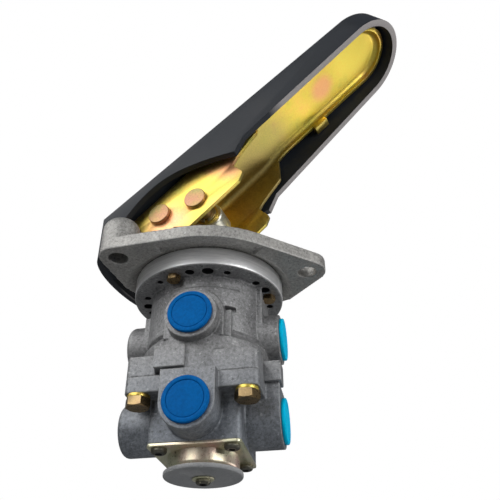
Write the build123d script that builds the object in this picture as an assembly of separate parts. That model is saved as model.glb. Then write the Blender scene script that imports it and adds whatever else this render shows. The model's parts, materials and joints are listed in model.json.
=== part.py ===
from build123d import *
from math import atan, cos, degrees, radians, sin
import os

os.makedirs("parts", exist_ok=True)

# Foot brake valve with treadle pedal. Millimetres and degrees.
# Origin on the valve axis in the plane of the mounting face, +Z up, +X towards the pedal tip.
# The valve body hangs below the mounting plate and is turned about its axis by PORT_TURN.

# Clearances
RUN = 0.05            # radial play of a shaft in its bore
FACE = 0.05           # play between faces that turn against each other
SLIDE = 0.10          # radial play of a piston or valve in its bore
GAP = 0.30            # gap between pieces that must not touch
OVER = 1.0            # how far a cut runs past the face it opens

# Mounting plate
PLATE_TOP = 8.5
SEAT_Z = 4.5          # underside of the plate where the valve flange is seated
BOLT_CIRCLE_R = 70.7
EAR_R = 12.0
EAR_HOLE_R = 6.15
PLAIN_EAR = 0
BOSS_EARS = (120, -120)
CORE_R = 51.2
BULGE_R = 67.5
BULGE_FROM = -97
BULGE_TO = -25
HOLLOW_RIM = 1.0
HOLLOW_TO = -35
EAR_RAMP = 6.0
BOSS_TOP = 28.0
BOSS_ROUND = 8.0
BLIND_DEPTH = 20.0
GUIDE_BOSS_R = 14.0
GUIDE_BOSS_TOP = 17.0
SCREW_BOSS_R = 7.0
SCREW_BOSS_TOP = 13.5
SCREW_BOSS_ROOF = 1.0

# Pedal geometry: a tread line in the XZ plane and what hangs from it
TREAD_Z0 = 109.2
TREAD_SLOPE = 0.79
TREAD_HALF = 38.8
TREAD_TAPER = 0.042
TREAD_THICK = 5.0
COVER_WALL = 5.0
TIP_U = 186.0
TIP_ROUND = 36.0
TREAD_EDGE = 3.5
TREAD_END_U = -160.0
GRIP_FROM_U = -70.0
GRIP_STEP = 13.0
GRIP_GROOVES = 18
GRIP_WIDE = 2.5
GRIP_DEEP = 0.8
GRIP_MARGIN = 8.0
HEEL_X = -76.7
HEEL_Z = 20.0
HEEL_ROUND = 14.0
HEEL_WIDEN = 1.12
HEEL_STEP = 3.0
DRAWN_PAST = 20.0     # how far the cover's side drawing runs past its ends
RIM_Z0 = 66.84
RIM_SLOPE = 0.889
NOTCH_X = 41.0
ARCH = [(-62.0, 22.0), (-48.0, 51.0), (-20.0, 79.5), (7.0, 87.5), (34.0, 89.0)]

# Pedal arm: pressed channel with ears
SHEET = 3.0
EAR_FACE_Y = 29.0
CHANNEL_HALF = 24.5
CHANNEL_DEPTH = 8.0
CHANNEL_TIP_U = 178.0
CHANNEL_TIP_ROUND = 28.0
CHANNEL_HEEL_U = -86.0
NARROW_FROM_U = 36.0
NARROW_TO_U = 58.0
TRAY_ROUND = 5.0
TAB_U = 96.0
TAB_LONG = 13.0
TAB_OUT = 4.0
TAB_DROP = 4.0
EAR_FRONT = [(47.0, 112.0), (32.0, 93.0), (28.0, 86.0), (36.5, 77.0), (33.5, 69.5), (-3.5, 39.7)]
EAR_REAR = [(-52.0, 50.0), (-62.0, 68.0)]
EAR_ROUND = 2.5
EAR_LOBE_R = 18.0

# Pins and roller
PIVOT_X = -27.5
PIVOT_Z = 56.0
PIVOT_R = 6.0
ROLLER_X = 0.7
ROLLER_Z = 62.0
ROLLER_PIN_R = 5.0
ROLLER_R = 11.0
ROLLER_HALF = 9.0
PIN_HEAD_R = 8.0
PIN_HEAD_THICK = 3.2
PIN_EDGE = 0.5
PIN_TAIL = 4.5
ROLLER_EDGE = 0.8
CLIP_THICK = 1.2
CLIP_GROOVE = 0.9
CLIP_RIM = 2.2
CLIP_OPENING = 3.0
WASHER_R = 8.5
WASHER_THICK = 1.5

# Pivot tower and bushes
LUG_IN_Y = 13.0
LUG_OUT_Y = 24.0
LUG_R = 13.0
LUG_FOOT_FROM = -43.0
LUG_FOOT_TO = -12.0
LUG_FOOT_TALL = 4.0
BUSH_WALL = 2.0
BUSH_FLANGE_R = 10.5
BUSH_FLANGE_THICK = 1.5

# Plunger, boot and rubber spring
PLUNGER_R = 6.0
PLUNGER_CAP_R = 11.0
PLUNGER_CAP_THICK = 4.0
PLUNGER_EDGE = 0.8
FOOT_R = 13.0
FOOT_THICK = 3.4
GUIDE_WALL = 3.0
GUIDE_FLANGE_R = 11.5
GUIDE_FLANGE_THICK = 1.5
BOOT_WALL = 1.6
BOOT_FOLDS = 4
BOOT_FOLD_DEPTH = 3.0
BOOT_CUFF = 3.0
RUBBER_R = 12.0
RUBBER_BORE_R = 4.0
RUBBER_TALL = 17.5
RUBBER_EDGE = 1.0
RUBBER_ROOM = 2.0

# Upper body
PORT_TURN = 12.0
RING_R = 50.2
RING_LOW = -8.66
RING_EDGE = 0.8
NECK_R = 35.2
COLLAR_R = 37.0
COLLAR_LOW = -17.7
COLLAR_FROM = -128
COLLAR_TO = -55
SIDE_PAD_X = 38.5
SIDE_PAD_HALF = 16.0
FRONT_PAD_Y = -38.0
FRONT_PAD_R = 18.4
FRONT_PAD_Z = -37.6
SPOT_R = 6.2
SPOT_DEEP = 6.0
SLOT_FROM = (17.6, -33.6)
SLOT_TO = (24.4, -30.4)
SLOT_BACK_Y = -28.0
RIB_FROM_X = 18.6
RIB_TO_X = 22.3
RIB_FACE_Y = -34.2
SHOULDER_TOP = -46.5
BELT_TOP = -52.0
BELT_R = 40.5
PARTING_Z = -75.0
LUG_TALL = 12.5
LUG_X = 39.5
LUG_Y = 38.5
LUG_LONG = 18.0
LUG_EDGE = 4.0
LUG_ROOT = 20.0
FRONT_LUG_X = 11.9
FRONT_LUG_TALL = 13.5
RAISED_FROM = (-21.5, -72.3)
RAISED_TO = (-3.0, -58.5)
RAISED_Y = -43.0
REAR_LUG_OUT = 10.0
REAR_LUG_FROM_Y = -19.0
REAR_LUG_TO_Y = -6.0
PRIMARY_R = 27.0
LEDGE_TOP = -40.0
LEDGE_THICK = 4.0
PRIMARY_SEAT_R = 11.5
PRIMARY_CHAMBER_R = 18.0
RELAY_R = 33.0
RELAY_TOP = -62.0
RELAY_FLOOR = -84.0

# Ports and their bosses
PORT_BOSS_R = 16.0
PORT_BORE_R = 10.25
PORT_DEPTH = 14.0
PASSAGE_R = 4.0
PASSAGE_SHIFT = 5.8
PASSAGE_OVERLAP = 3.0
ROOT = 10.0           # where the bosses start, inside the castings
UPPER_FRONT_Z = -40.5
UPPER_FRONT_FACE = 46.8
UPPER_RIGHT_Z = -39.8
UPPER_RIGHT_FACE = 48.6
LOWER_FRONT_Z = -94.1
LOWER_FRONT_FACE = 45.9
LOWER_RIGHT_Z = -93.6
LOWER_RIGHT_FACE = 48.0
BLIND_FACE = 50.5
BLIND_ROUND = 4.0
LOWER_BLIND_Z = -93.5
CAP_R = 13.5
CAP_LIP = 2.5
CAP_RECESS_R = 9.5
CAP_RECESS = 0.8
CAP_EDGE = 0.8
CAP_FLOOR = 2.2
CAP_STEM = 9.0
CAP_STEM_PLAY = 0.15
CAP_STEM_WALL = 2.0

# Lower body
LOWER_FLANGE_LOW = -84.8
FOOT_Z = -110.8
FOOT_HALF = 27.0
FOOT_EDGE = 3.0
SECONDARY_SEAT_R = 10.5
SECONDARY_CHAMBER_R = 15.0

# Fasteners
BODY_BOLT_X = 31.8
BODY_BOLT_Y = 33.0
BODY_BOLT_R = 4.0
BODY_BOLT_FLATS = 13.0
BODY_BOLT_HEAD = 5.3
BODY_BOLT_REACH = 20.0
SPRING_WASHER_R = 6.6
SPRING_WASHER_THICK = 2.1
SPRING_WASHER_SLIT = 1.0
FLANGE_BOLT_R = 2.5
FLANGE_BOLT_CIRCLE_R = 41.5
FLANGE_BOLT_FLATS = 8.0
FLANGE_BOLT_HEAD = 3.5
FLANGE_BOLT_ANGLES = (-110, -4, 123)
RING_HOLES = [(-186, 2.6), (-173.5, 3.4), (-158.5, 2.2), (-126.5, 2.0), (-94.5, 3.0),
              (-78.5, 3.8), (-61.5, 2.3), (-30.5, 2.5), (-16, 3.6), (14.5, 2.4)]
RING_HOLE_DEEP = 5.0
SEAL_R = 1.0
SEAL_GROOVE_WIDEN = 1.3
PLATE_SEAL_OUT = 4.0
BODY_SEAL_OUT = 3.0

# Exhaust
EXHAUST_SHEET = 1.5
EXHAUST_HALF = 27.15
EXHAUST_EDGE = 3.0
CUP_R = 21.2
CUP_TALL = 10.4
CUP_WALL = 1.2
CUP_ROUND = 2.5
VENT_R = 3.5
VENT_CIRCLE_R = 13.0
VENTS = 6
FLAP_R = 23.35
FLAP_THICK = 2.7
FLAP_EDGE = 1.0
FLAP_NUT_FLATS = 8.0
FLAP_NUT_TALL = 4.0
FLAP_WASHER_R = 6.5
FLAP_WASHER_THICK = 1.0
FLAP_SCREW_R = 2.5
FLAP_SCREW_HEAD_R = 4.4
FLAP_SCREW_HEAD = 2.6
FLAP_SCREW_REACH = 6.0
PLATE_SCREW_AT = 21.04
PLATE_SCREW_R = 2.5
PLATE_SCREW_HEAD_R = 4.6
PLATE_SCREW_HEAD = 2.8
PLATE_SCREW_REACH = 10.0
HEAD_ROUNDING = 0.6   # rounding of a button head, as a part of its height
SOCKET_FLATS = 4.0
SOCKET_DEEP = 1.4

# Pistons, valves and their springs
PISTON_TOP = -6.0
PISTON_TALL = 18.0
PISTON_STEM_R = 8.5
PISTON_STEM_BORE_R = 6.0
PISTON_STEM_END = -42.0
STEM_BORE_REACH = 1.5
PISTON_RING_DROP = 5.0
VALVE_GAP = 2.2
SEAL_RING_R = 1.3
VALVE_DISC_THICK = 3.0
PRIMARY_VALVE_R = 14.0
PRIMARY_TUBE_R = 7.5
PRIMARY_TUBE_BORE_R = 4.5
PRIMARY_GUIDE_TALL = 6.6
RELAY_TALL = 11.0
RELAY_PISTON_TOP = -66.0
RELAY_STEM_R = 7.5
RELAY_STEM_BORE_R = 5.0
RELAY_RIM = 5.0
RELAY_RING_DROP = 3.0
SECONDARY_PLAY = 0.2
SECONDARY_VALVE_R = 12.0
SECONDARY_TUBE_R = 6.0
SECONDARY_TUBE_BORE_R = 3.5
SECONDARY_TUBE_UP = 3.0
SECONDARY_GUIDE_TALL = 8.8
SECONDARY_GUIDE_LOW = -107.0
RETAINER_THICK = 1.3
RETAINER_RIM = 2.4
RETAINER_GROOVE = 1.0
RETAINER_OPENING = 4.0
SPRING_WIRE_R = 0.9
VALVE_WIRE_R = 0.6
PISTON_SPRING_IN = 5.0
VALVE_SPRING_OUT = 2.5
SPRING_TURNS = 3

# Derived places
TREAD_ANGLE = degrees(atan(TREAD_SLOPE))
TREAD_PLANE = Plane(
    origin=(0, 0, TREAD_Z0),
    x_dir=(cos(radians(TREAD_ANGLE)), 0, sin(radians(TREAD_ANGLE))),
    z_dir=(-sin(radians(TREAD_ANGLE)), 0, cos(radians(TREAD_ANGLE))),
)
VALVE_FRAME = Rot(0, 0, PORT_TURN)
CUP_LOW = FOOT_Z - CUP_TALL
ROLLER_LOW = ROLLER_Z - ROLLER_R
PLUNGER_TOP = ROLLER_LOW - FACE
LEDGE_LOW = LEDGE_TOP - LEDGE_THICK
PRIMARY_GUIDE_LOW = RELAY_TOP + GAP
FAR = 400.0


def disc(radius, low, high, x=0.0, y=0.0):
    """Upright cylinder between two heights."""
    return Pos(x, y, (low + high) / 2) * Cylinder(radius, high - low)


def tube(outer, bore, low, high, x=0.0, y=0.0):
    """Upright ring between two heights."""
    return disc(outer, low, high, x, y) - disc(bore, low - OVER, high + OVER, x, y)


def block(x0, x1, y0, y1, z0, z1):
    """Box between its corners."""
    return Pos((x0 + x1) / 2, (y0 + y1) / 2, (z0 + z1) / 2) * Box(x1 - x0, y1 - y0, z1 - z0)


def cross_rod(radius, x, z, y0, y1):
    """Cylinder along Y between two places."""
    return Pos(x, (y0 + y1) / 2, z) * Rot(90, 0, 0) * Cylinder(radius, y1 - y0)


def cross_ring(outer, bore, x, z, y0, y1):
    """Ring along Y between two places."""
    return cross_rod(outer, x, z, y0, y1) - cross_rod(bore, x, z, y0 - OVER, y1 + OVER)


def side_shape(face, y0, y1):
    """Extrude a face drawn in the XZ plane from y0 to y1."""
    drawn = Plane(origin=(0, y1, 0), x_dir=(1, 0, 0), z_dir=(0, -1, 0)) * face
    return extrude(drawn, y1 - y0)


def on_circle(radius, angle):
    """Point on a circle about the valve axis."""
    return radius * cos(radians(angle)), radius * sin(radians(angle))


def group(solids):
    """Separate solids kept in one node."""
    return Compound(children=[part for shape in solids for part in shape.solids()])


def save(shape, node, frame=None):
    """Write one node, moved to its frame."""
    placed = frame * shape if frame is not None else shape
    solids = placed.solids()
    whole = solids[0] if len(solids) == 1 else Compound(children=solids)
    export_step(whole, f"parts/{node}.step")


# Mounting plate

def plate_outline():
    """Outline round the three ears, the core and the wide near side."""
    edges = list(Circle(CORE_R).edges())
    for angle in (PLAIN_EAR, *BOSS_EARS):
        x, y = on_circle(BOLT_CIRCLE_R, angle)
        edges += (Pos(x, y) * Circle(EAR_R)).edges()
    edges.append(CenterArc((0, 0), BULGE_R, BULGE_FROM, BULGE_TO - BULGE_FROM).edge())
    return make_hull(edges)


def near_hollow():
    """Shallow conical hollow under the wide near side, left out under the ears."""
    section = Polyline((0, -OVER), (BULGE_R - HOLLOW_RIM, -OVER), (BULGE_R - HOLLOW_RIM, 0),
                       (RING_R + GAP, SEAT_Z), (0, SEAT_Z), close=True)
    cone = revolve(Plane.XZ * make_face(section), Axis.Z, HOLLOW_TO - BULGE_FROM)
    return Rot(0, 0, BULGE_FROM) * cone


def pivot_lug(side):
    """One lug of the tower that carries the pivot pin."""
    foot = Rectangle(LUG_FOOT_TO - LUG_FOOT_FROM, LUG_FOOT_TALL)
    foot = Pos((LUG_FOOT_FROM + LUG_FOOT_TO) / 2, PLATE_TOP) * foot
    eye = Pos(PIVOT_X, PIVOT_Z) * Circle(LUG_R)
    face = make_hull(list(foot.edges()) + list(eye.edges()))
    y0, y1 = sorted((side * LUG_IN_Y, side * LUG_OUT_Y))
    return side_shape(face, y0, y1)


def mounting_plate():
    """Casting with three ears, pivot tower, guide boss and screw bosses."""
    plate = extrude(plate_outline(), PLATE_TOP)
    ramp = Cone(RING_R + GAP + EAR_RAMP, RING_R + GAP, SEAT_Z, align=(Align.CENTER, Align.CENTER, Align.MIN))
    plate -= ramp
    plate -= near_hollow()
    for side in (1, -1):
        plate += pivot_lug(side)
    plate += disc(GUIDE_BOSS_R, SEAT_Z, GUIDE_BOSS_TOP)
    for angle in FLANGE_BOLT_ANGLES:
        x, y = on_circle(FLANGE_BOLT_CIRCLE_R, angle + PORT_TURN)
        plate += disc(SCREW_BOSS_R, SEAT_Z, SCREW_BOSS_TOP, x, y)
        plate -= disc(FLANGE_BOLT_R + RUN, 0, SCREW_BOSS_TOP - SCREW_BOSS_ROOF, x, y)
    for angle in BOSS_EARS:
        x, y = on_circle(BOLT_CIRCLE_R, angle)
        boss = disc(EAR_R, PLATE_TOP, BOSS_TOP, x, y)
        plate += fillet(boss.edges().group_by(Axis.Z)[-1], BOSS_ROUND)
        plate -= disc(EAR_HOLE_R, -OVER, BLIND_DEPTH, x, y)
    x, y = on_circle(BOLT_CIRCLE_R, PLAIN_EAR)
    plate -= disc(EAR_HOLE_R, -OVER, PLATE_TOP + OVER, x, y)
    plate -= disc(PLUNGER_R + RUN + GUIDE_WALL, 0, GUIDE_BOSS_TOP + OVER)
    for side in (1, -1):
        y0, y1 = sorted((side * (LUG_IN_Y - OVER), side * (LUG_OUT_Y + OVER)))
        plate -= cross_rod(PIVOT_R + RUN + BUSH_WALL, PIVOT_X, PIVOT_Z, y0, y1)
    return plate


def pivot_bushes():
    """Flanged bushes in the two lugs."""
    bushes = []
    outer = PIVOT_R + RUN + BUSH_WALL
    for side in (1, -1):
        inner_end, seat = side * LUG_IN_Y, side * LUG_OUT_Y
        rim = seat + side * BUSH_FLANGE_THICK
        sleeve = cross_rod(outer, PIVOT_X, PIVOT_Z, min(inner_end, seat), max(inner_end, seat))
        sleeve += cross_rod(BUSH_FLANGE_R, PIVOT_X, PIVOT_Z, min(seat, rim), max(seat, rim))
        bushes.append(sleeve - cross_rod(PIVOT_R + RUN, PIVOT_X, PIVOT_Z, -FAR / 4, FAR / 4))
    return group(bushes)


def guide_bush():
    """Flanged bush that guides the plunger."""
    outer = PLUNGER_R + RUN + GUIDE_WALL
    bush = disc(outer, SEAT_Z, GUIDE_BOSS_TOP)
    bush += disc(GUIDE_FLANGE_R, GUIDE_BOSS_TOP, GUIDE_BOSS_TOP + GUIDE_FLANGE_THICK)
    return bush - disc(PLUNGER_R + RUN, 0, FAR)


# Pedal

def tread_half(u):
    """Half width of the cover at a place along the tread."""
    return TREAD_HALF - TREAD_TAPER * u


def cover_block(inset, top, edge=0.0):
    """Tapered block under the tread with a round tip and a round upright heel."""
    tip = TIP_U - TIP_ROUND
    start, start_half, tip_half = TREAD_END_U, tread_half(TREAD_END_U) - inset, tread_half(tip) - inset
    strip = Polyline((start, -start_half), (tip, -tip_half), (tip, tip_half), (start, start_half), close=True)
    outline = make_face(strip) + Pos(tip, 0) * Ellipse(TIP_ROUND - inset, tip_half)
    body = extrude(outline, -FAR / 2)
    if edge:
        body = fillet(body.edges().group_by(Axis.Z)[-1], edge)
    heel = Pos(HEEL_X + HEEL_ROUND, 0) * Ellipse(HEEL_ROUND - inset, TREAD_HALF * HEEL_WIDEN - inset)
    heel += Pos(HEEL_X + HEEL_ROUND + FAR / 2, 0) * Rectangle(FAR, FAR)
    return TREAD_PLANE * Pos(0, 0, -top) * body & extrude(Pos(0, 0, -FAR / 4) * heel, FAR)


def tread_grooves():
    """Shallow grooves across the tread that give the shoe a grip."""
    grooves = []
    for index in range(GRIP_GROOVES):
        u = GRIP_FROM_U + GRIP_STEP * index
        half = tread_half(u) - GRIP_MARGIN
        grooves.append(TREAD_PLANE * Pos(u, 0, 0) * Box(GRIP_WIDE, 2 * half, 2 * GRIP_DEEP))
    return grooves


def cover_side():
    """Side view of the cover: heel, arch over the ears, step and straight rim."""
    back, front = HEEL_X - DRAWN_PAST, TIP_U + DRAWN_PAST
    step = ARCH[0][0] - HEEL_STEP
    before = Polyline((back, FAR), (back, HEEL_Z), (step, HEEL_Z), ARCH[0])
    arch = Spline(*ARCH)
    after = Polyline(ARCH[-1], (NOTCH_X, RIM_Z0 + RIM_SLOPE * NOTCH_X), (front, RIM_Z0 + RIM_SLOPE * front),
                     (front, FAR), (back, FAR))
    return side_shape(make_face([before, arch, after]), -FAR / 4, FAR / 4)


def pedal_cover():
    """Moulded cover, open below, that lies on the arm."""
    shell = cover_block(0, 0, TREAD_EDGE) & cover_side()
    return shell - cover_block(COVER_WALL, TREAD_THICK) - tread_grooves()


def channel_outline(inset):
    """Plan of the channel: wide between the ears, narrow towards its round tip."""
    wide, narrow = EAR_FACE_Y - inset, CHANNEL_HALF - inset
    tip = CHANNEL_TIP_U - CHANNEL_TIP_ROUND
    heel = CHANNEL_HEEL_U + inset
    half = [(heel, wide), (NARROW_FROM_U, wide), (NARROW_TO_U, narrow), (tip, narrow)]
    mirrored = [(u, -y) for u, y in reversed(half)]
    plan = make_face(Polyline(*half, *mirrored, close=True))
    return plan + Pos(tip, 0) * Ellipse(CHANNEL_TIP_ROUND - inset, narrow)


def channel_block(inset, top, edge):
    """Block with the channel's plan and a round edge round its top."""
    block_up = extrude(channel_outline(inset), -FAR / 4)
    block_up = fillet(block_up.edges().group_by(Axis.Z)[-1], edge)
    return TREAD_PLANE * Pos(0, 0, -top) * block_up


def arm_side():
    """Side view of the arm: a shallow flange along the web and the deep ears."""
    lobe = Pos(PIVOT_X, PIVOT_Z) * Circle(EAR_LOBE_R)
    rear_top = (EAR_REAR[-1][0], TREAD_Z0)
    front_top = (EAR_FRONT[0][0], TREAD_Z0 + TREAD_SLOPE * EAR_FRONT[0][0])
    ear = make_face(Polyline(*EAR_FRONT, *EAR_REAR, rear_top, front_top, close=True))
    for x, z in EAR_FRONT[2:5]:
        ear = fillet(ear.vertices().sort_by_distance((x, z, 0))[0], EAR_ROUND)
    shape = side_shape(ear + lobe, -FAR / 8, FAR / 8)
    depth = TREAD_THICK + CHANNEL_DEPTH
    band = Pos(0, 0, -depth / 2) * Box(FAR, FAR / 4, depth)
    return shape + TREAD_PLANE * band


def lock_tab(side):
    """Small tab on the flange that locks the cover."""
    low = TREAD_THICK + CHANNEL_DEPTH + TAB_DROP
    y = side * (CHANNEL_HALF + TAB_OUT / 2 - SHEET / 2)
    upright = Pos(TAB_U, side * (CHANNEL_HALF - SHEET / 2), -low + TAB_DROP) * Box(TAB_LONG, SHEET, 2 * TAB_DROP)
    lip = Pos(TAB_U, y, -low + SHEET / 2) * Box(TAB_LONG, TAB_OUT + SHEET, SHEET)
    return TREAD_PLANE * (upright + lip)


def pedal_arm():
    """Pressed steel channel with two ears."""
    outer = channel_block(0, TREAD_THICK, TRAY_ROUND + SHEET)
    inner = channel_block(SHEET, TREAD_THICK + SHEET, TRAY_ROUND)
    arm = (outer - inner) & arm_side()
    for side in (1, -1):
        arm += lock_tab(side)
    arm -= cross_rod(PIVOT_R + RUN, PIVOT_X, PIVOT_Z, -FAR / 4, FAR / 4)
    arm -= cross_rod(ROLLER_PIN_R + RUN, ROLLER_X, ROLLER_Z, -FAR / 4, FAR / 4)
    return arm


def headed_pin(radius, x, z):
    """Pin with a round head outside the near ear and a ring groove outside the far ear."""
    head_in = -EAR_FACE_Y - FACE
    groove = EAR_FACE_Y + FACE
    pin = cross_rod(radius, x, z, head_in, EAR_FACE_Y + PIN_TAIL)
    head = cross_rod(PIN_HEAD_R, x, z, head_in - PIN_HEAD_THICK, head_in)
    pin += fillet(head.edges().sort_by(Axis.Y)[0], PIN_EDGE)
    return pin - cross_ring(radius + OVER, radius - CLIP_GROOVE, x, z, groove, groove + CLIP_THICK + 2 * FACE)


def pin_clip(radius, x, z, y):
    """Open retaining ring that sits in a pin's groove, starting at y."""
    ring = cross_ring(radius + CLIP_RIM, radius - CLIP_GROOVE + FACE, x, z, y, y + CLIP_THICK)
    half = CLIP_OPENING / 2
    return ring - block(x - half, x + half, y - OVER, y + CLIP_THICK + OVER, z - FAR, z)


def pivot_pin():
    return headed_pin(PIVOT_R, PIVOT_X, PIVOT_Z)


def roller_clip_start(side):
    """Start of the ring groove on one side of the roller."""
    outside = ROLLER_HALF + 2 * FACE + WASHER_THICK
    return outside if side > 0 else -outside - CLIP_THICK


def roller_pin():
    pin = headed_pin(ROLLER_PIN_R, ROLLER_X, ROLLER_Z)
    for side in (1, -1):
        start = roller_clip_start(side)
        pin -= cross_ring(ROLLER_PIN_R + OVER, ROLLER_PIN_R - CLIP_GROOVE, ROLLER_X, ROLLER_Z,
                          start - FACE, start + CLIP_THICK + FACE)
    return pin


def pin_clips():
    """Retaining rings at the far ends of both pins."""
    start = EAR_FACE_Y + 2 * FACE
    return group([pin_clip(PIVOT_R, PIVOT_X, PIVOT_Z, start), pin_clip(ROLLER_PIN_R, ROLLER_X, ROLLER_Z, start)])


def roller_clips():
    """Retaining rings beside the roller's washers."""
    return group([pin_clip(ROLLER_PIN_R, ROLLER_X, ROLLER_Z, roller_clip_start(side)) for side in (1, -1)])


def roller_washers():
    """Washers on both sides of the roller."""
    rings = []
    for side in (1, -1):
        near = side * (ROLLER_HALF + FACE)
        far = near + side * WASHER_THICK
        rings.append(cross_ring(WASHER_R, ROLLER_PIN_R + RUN, ROLLER_X, ROLLER_Z, min(near, far), max(near, far)))
    return group(rings)


def roller():
    """Roller that presses on the plunger."""
    wheel = cross_rod(ROLLER_R, ROLLER_X, ROLLER_Z, -ROLLER_HALF, ROLLER_HALF)
    wheel = chamfer(wheel.edges().filter_by(GeomType.CIRCLE), ROLLER_EDGE)
    return wheel - cross_rod(ROLLER_PIN_R + RUN, ROLLER_X, ROLLER_Z, -FAR / 4, FAR / 4)


# Plunger and boot

def plunger():
    """Push rod with a flat cap, a boot groove and a foot inside the valve."""
    cap_low = PLUNGER_TOP - PLUNGER_CAP_THICK
    foot_top = SEAT_Z - GAP
    rod = disc(PLUNGER_R, foot_top - FOOT_THICK, cap_low)
    cap = disc(PLUNGER_CAP_R, cap_low, PLUNGER_TOP)
    cap = chamfer(cap.edges().group_by(Axis.Z)[-1], PLUNGER_EDGE)
    return rod + cap + disc(FOOT_R, foot_top - FOOT_THICK, foot_top)


def plunger_boot():
    """Bellows between the guide boss and the plunger."""
    cuff_low = PLATE_TOP + GAP
    low = GUIDE_BOSS_TOP + GUIDE_FLANGE_THICK + GAP
    high = PLUNGER_TOP - PLUNGER_CAP_THICK - GAP
    inner = GUIDE_BOSS_R + GAP
    top_inner = PLUNGER_R + GAP
    points_in = [(inner, cuff_low), (inner, low)]
    pitch = (high - BOOT_CUFF - low) / BOOT_FOLDS
    shrink = (inner - top_inner - BOOT_FOLD_DEPTH) / BOOT_FOLDS
    for fold in range(BOOT_FOLDS):
        base = inner - shrink * fold
        points_in.append((base - BOOT_FOLD_DEPTH, low + pitch * (fold + 0.5)))
        points_in.append((base - shrink, low + pitch * (fold + 1)))
    points_in += [(top_inner, high - BOOT_CUFF), (top_inner, high)]
    points_out = [(r + BOOT_WALL, z) for r, z in reversed(points_in)]
    section = make_face(Polyline(*points_in, *points_out, close=True))
    return revolve(Plane.XZ * section, Axis.Z)


def graduating_spring():
    """Rubber spring between the plunger's foot and the primary piston."""
    high = SEAT_Z - GAP - FOOT_THICK - GAP
    spring = tube(RUBBER_R, RUBBER_BORE_R, high - RUBBER_TALL, high)
    return fillet(spring.edges().filter_by(GeomType.CIRCLE), RUBBER_EDGE)


# Castings of the valve, drawn in their own frame and turned when they are written

def port_rod(radius, start, end, z, side):
    """Cylinder along a port's axis: side is front, right or left."""
    angle = {"right": 0, "front": -90, "left": 180}[side]
    rod = Pos((start + end) / 2, 0, z) * Rot(0, 90, 0) * Cylinder(radius, end - start)
    return Rot(0, 0, angle) * rod


def blind_boss(z):
    """Unmachined boss on the left, with a rounded end."""
    rod = port_rod(PORT_BOSS_R, ROOT, BLIND_FACE, z, "left")
    return fillet(rod.edges().sort_by(Axis.X)[0], BLIND_ROUND)


def corner_lugs(low, high):
    """Four lugs for the body bolts, with rounded corners."""
    lugs = None
    for x_side in (1, -1):
        for y_side in (1, -1):
            x0, x1 = sorted((x_side * (LUG_X - LUG_LONG), x_side * LUG_X))
            y0, y1 = sorted((y_side * (LUG_Y - LUG_LONG), y_side * LUG_Y))
            lug = block(x0, x1, y0, y1, low, high)
            corner = lug.edges().filter_by(Axis.Z).sort_by_distance((x_side * FAR, y_side * FAR, 0))[0]
            lug = fillet(corner, LUG_EDGE)
            lugs = lug if lugs is None else lugs + lug
    return lugs


def upper_pads(top):
    """Thicker places of the neck: a collar in front, a pad round each port and a rib."""
    collar = Polyline((ROOT, COLLAR_LOW), (COLLAR_R, COLLAR_LOW), (COLLAR_R, top), (ROOT, top), close=True)
    pads = Rot(0, 0, COLLAR_FROM) * revolve(Plane.XZ * make_face(collar), Axis.Z, COLLAR_TO - COLLAR_FROM)
    pads += port_rod(FRONT_PAD_R, ROOT, -FRONT_PAD_Y, FRONT_PAD_Z, "front")
    pads += block(-FRONT_PAD_R, FRONT_PAD_R, FRONT_PAD_Y, -ROOT, BELT_TOP, FRONT_PAD_Z)
    pads += block(RIB_FROM_X, RIB_TO_X, RIB_FACE_Y, -ROOT, BELT_TOP, SLOT_FROM[1])
    for side in (1, -1):
        x0, x1 = sorted((side * ROOT, side * SIDE_PAD_X))
        pads += block(x0, x1, -SIDE_PAD_HALF, SIDE_PAD_HALF, UPPER_RIGHT_Z, top)
    return pads


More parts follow.
